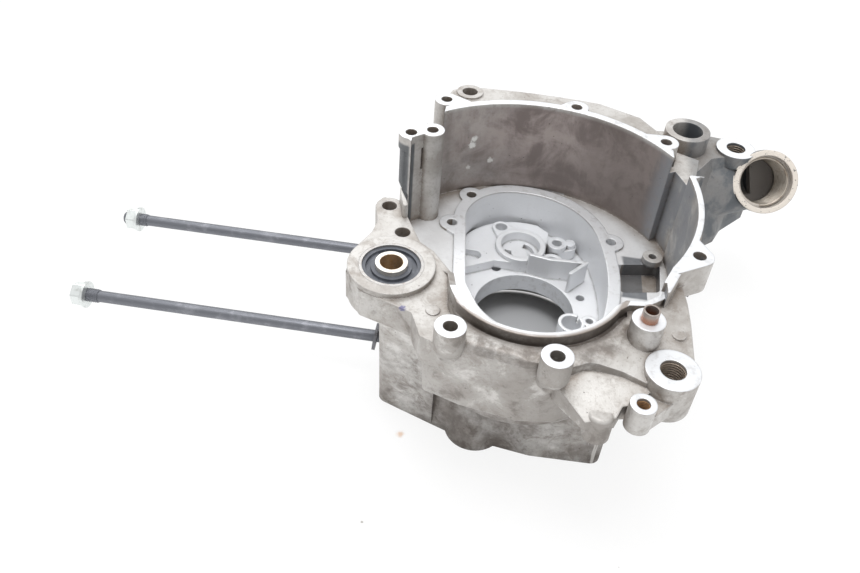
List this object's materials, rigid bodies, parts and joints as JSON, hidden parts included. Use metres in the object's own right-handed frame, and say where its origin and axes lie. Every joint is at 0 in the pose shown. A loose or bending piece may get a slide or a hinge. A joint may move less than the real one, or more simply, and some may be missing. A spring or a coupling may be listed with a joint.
{
  "type": "engine crankcase half",
  "caption": "Cast aluminium right-hand crankcase half of a small scooter engine, with a crank bearing seat, cover rim, hanger bush, cylinder studs and oil filler neck.",
  "frame": {"origin": "on the crankshaft axis, in the middle of the crank bearing seat", "axes": "+Z along the crankshaft axis, from the split face out to the cover side; -X towards the cylinder, along the studs"},
  "size_m": [0.4359, 0.2662, 0.1289],
  "materials": {
    "cast_aluminium": "rough as-cast, machined faces",
    "steel": "worn",
    "bush_rubber": "matte",
    "black_stud": "phosphated",
    "zinc_nut": "zinc plated"
  },
  "bodies": {
    "root": {"crankcase_half": "cast_aluminium", "bush_outer_sleeve": "steel", "bush_rubber": "bush_rubber", "bush_inner_sleeve": "steel", "upper_stud": "black_stud", "lower_stud": "black_stud", "upper_nut": "zinc_nut", "lower_nut": "zinc_nut", "loose_washer": "zinc_nut", "dowel_sleeve": "steel"}
  },
  "joints": []
}
